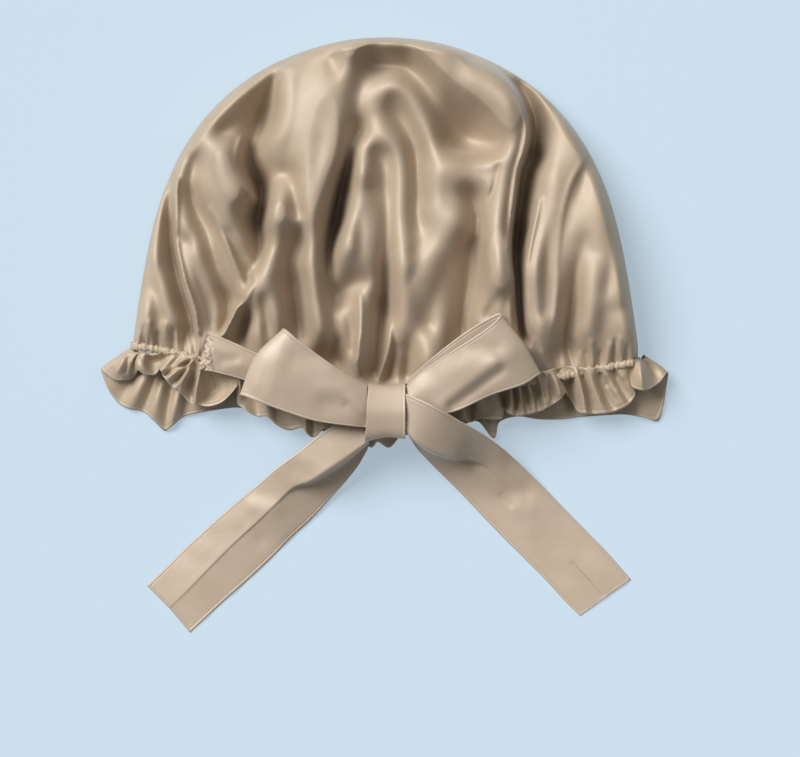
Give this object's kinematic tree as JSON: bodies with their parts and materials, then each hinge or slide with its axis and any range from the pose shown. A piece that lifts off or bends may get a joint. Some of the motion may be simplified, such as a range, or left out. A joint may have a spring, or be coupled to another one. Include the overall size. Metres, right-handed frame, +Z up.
{
  "type": "sleep bonnet",
  "caption": "Soft satin sleep bonnet lying flat: a gathered crown on an elastic casing with a frilled edge, tied with a ribbon bow at the front.",
  "frame": {"origin": "on the surface that the bonnet lies on, under the middle of its whole outline", "axes": "+Z up from that surface, with the bow on top; +Y from the mouth towards the crown's top; +X to the right of the bow as it is looked down on"},
  "size_m": [0.307, 0.3199, 0.0462],
  "materials": {
    "crown_satin": "champagne satin, soft sheen",
    "casing_satin": "tightly gathered champagne satin with its stitching",
    "frill_satin": "champagne satin with an overlocked hem",
    "ribbon_satin": "champagne satin ribbon with stitched edges"
  },
  "bodies": {
    "root": {"crown": "crown_satin", "elastic_casing": "casing_satin", "frill": "frill_satin", "strap_left": "ribbon_satin", "strap_right": "ribbon_satin", "bow_loop_left": "ribbon_satin", "bow_loop_right": "ribbon_satin", "bow_knot": "ribbon_satin", "bow_tail_left": "ribbon_satin", "bow_tail_right": "ribbon_satin"}
  },
  "joints": []
}
